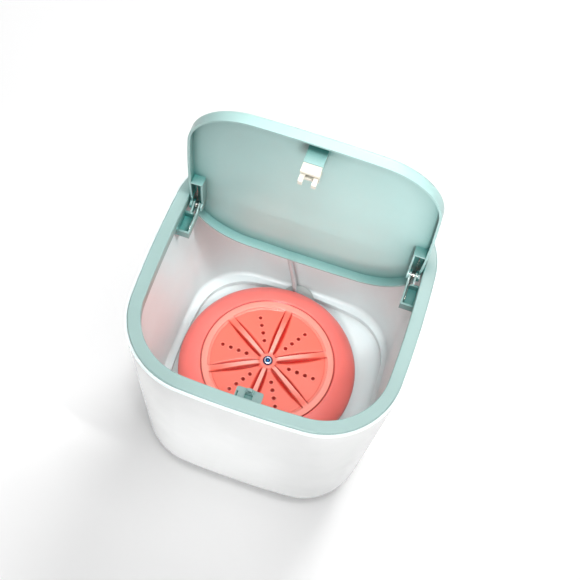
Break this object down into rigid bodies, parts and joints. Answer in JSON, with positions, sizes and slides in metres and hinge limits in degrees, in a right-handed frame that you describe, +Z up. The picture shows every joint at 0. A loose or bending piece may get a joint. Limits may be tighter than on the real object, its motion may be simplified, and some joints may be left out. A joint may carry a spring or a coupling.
{
  "type": "portable mini washer",
  "caption": "Small rounded-square washing tub with a spring-hinged latching lid and a round turbine unit with a spinning ribbed disc on its floor, fed by a thin USB lead.",
  "frame": {"origin": "middle of the tub's underside, on the surface it stands on", "axes": "+Z up through the mouth, +Y towards the lid's hinge and the cord notch, +X to the right as seen from the latch side"},
  "size_m": [0.17, 0.2389, 0.2845],
  "materials": {
    "tub_white": "smooth glossy moulded plastic, white",
    "liner_white": "smooth glossy moulded plastic, warm white",
    "mint": "smooth moulded plastic, pale mint green, soft gloss",
    "ivory": "smooth ivory plastic",
    "coral": "glossy coral-red plastic",
    "bright_steel": "bright drawn steel",
    "screw_steel": "nickel-plated steel",
    "bearing_bronze": "sintered bronze",
    "gear_nylon": "natural nylon",
    "seal_rubber": "black rubber, dull",
    "cup_silicone": "translucent grey silicone",
    "magnet": "sintered ferrite, dark grey",
    "armature_iron": "laminated iron",
    "board_green": "green circuit board with soldered components",
    "cord_jacket": "smooth white cable jacket",
    "plug_white": "smooth white moulded plug",
    "plug_insulator": "white insulator",
    "contact_gold": "gold-plated contacts",
    "tie_black": "black soft-touch cable tie"
  },
  "bodies": {
    "tub": {"tub_outer_shell": "tub_white", "tub_liner": "liner_white", "rim_ring": "mint", "latch_strike": "mint", "hinge_pin_right": "bright_steel", "hinge_pin_left": "bright_steel", "hinge_spring_right": "bright_steel", "hinge_spring_left": "bright_steel", "turbine_upper_housing": "coral", "turbine_lower_housing": "coral", "housing_gasket": "seal_rubber", "housing_screws": "screw_steel", "spindle_bush_lower": "bearing_bronze", "spindle_bush_upper": "bearing_bronze", "shaft_seal": "seal_rubber", "motor_can": "bright_steel", "motor_end_cap": "gear_nylon", "motor_magnets": "magnet", "control_board": "board_green", "suction_cups": "cup_silicone", "cord_gland": "seal_rubber", "power_cord": "cord_jacket", "power_cord_tail": "cord_jacket", "power_cord_coil": "cord_jacket", "cord_tie": "tie_black", "usb_plug_body": "plug_white", "usb_plug_shell": "screw_steel", "usb_tongue": "plug_insulator", "usb_contacts": "contact_gold"},
    "lid": {"lid": "mint", "hinge_spring_arm_right": "bright_steel", "hinge_spring_arm_left": "bright_steel", "latch_case": "ivory", "latch_spring": "bright_steel"},
    "latch_plunger": {"latch_plunger": "ivory", "latch_jaw_pins": "bright_steel"},
    "latch_jaw_right": {"latch_jaw_right": "ivory"},
    "latch_jaw_left": {"latch_jaw_left": "ivory"},
    "rotor": {"rotor": "coral", "rotor_screw": "screw_steel", "spindle": "bright_steel", "drive_gear": "gear_nylon"},
    "motor_rotor": {"motor_shaft": "bright_steel", "motor_armature": "armature_iron", "motor_pinion": "gear_nylon"}
  },
  "joints": [
    {"name": "lid_hinge", "type": "hinge", "parent": "tub", "child": "lid", "pos_m": [0, 0.0375, 0.172], "axis": [1, 0, 0], "range_deg": [0, 86.4], "stiffness_Nm_per_rad": 0.012, "springref_deg": -22.92},
    {"name": "latch_plunger_slide", "type": "slide", "parent": "lid", "child": "latch_plunger", "axis": [0, 0.998, 0.0628], "range_m": [0, 0.0035], "deforming": ["latch_spring"]},
    {"name": "latch_jaw_right_pivot", "type": "hinge", "parent": "latch_plunger", "child": "latch_jaw_right", "pos_m": [0.002, 0.02466, 0.27089], "axis": [0, 0.0628, -0.998], "range_deg": [0, 5]},
    {"name": "latch_jaw_left_pivot", "type": "hinge", "parent": "latch_plunger", "child": "latch_jaw_left", "pos_m": [-0.002, 0.02466, 0.27089], "axis": [0, 0.0628, -0.998], "range_deg": [-5, 0]},
    {"name": "rotor_spin", "type": "hinge", "parent": "tub", "child": "rotor", "pos_m": [-0.0045, 0, 0.06], "axis": [0, 0, 1], "continuous": true},
    {"name": "motor_spin", "type": "hinge", "parent": "tub", "child": "motor_rotor", "pos_m": [-0.0255, 0, 0.045], "axis": [0, 0, 1], "continuous": true}
  ],
  "couplings": [
    {"joint": "latch_jaw_right_pivot", "follows": "latch_plunger_slide", "rad_per_m": 24.933},
    {"joint": "latch_jaw_left_pivot", "follows": "latch_plunger_slide", "rad_per_m": -24.933},
    {"joint": "motor_spin", "follows": "rotor_spin", "ratio": -6}
  ]
}
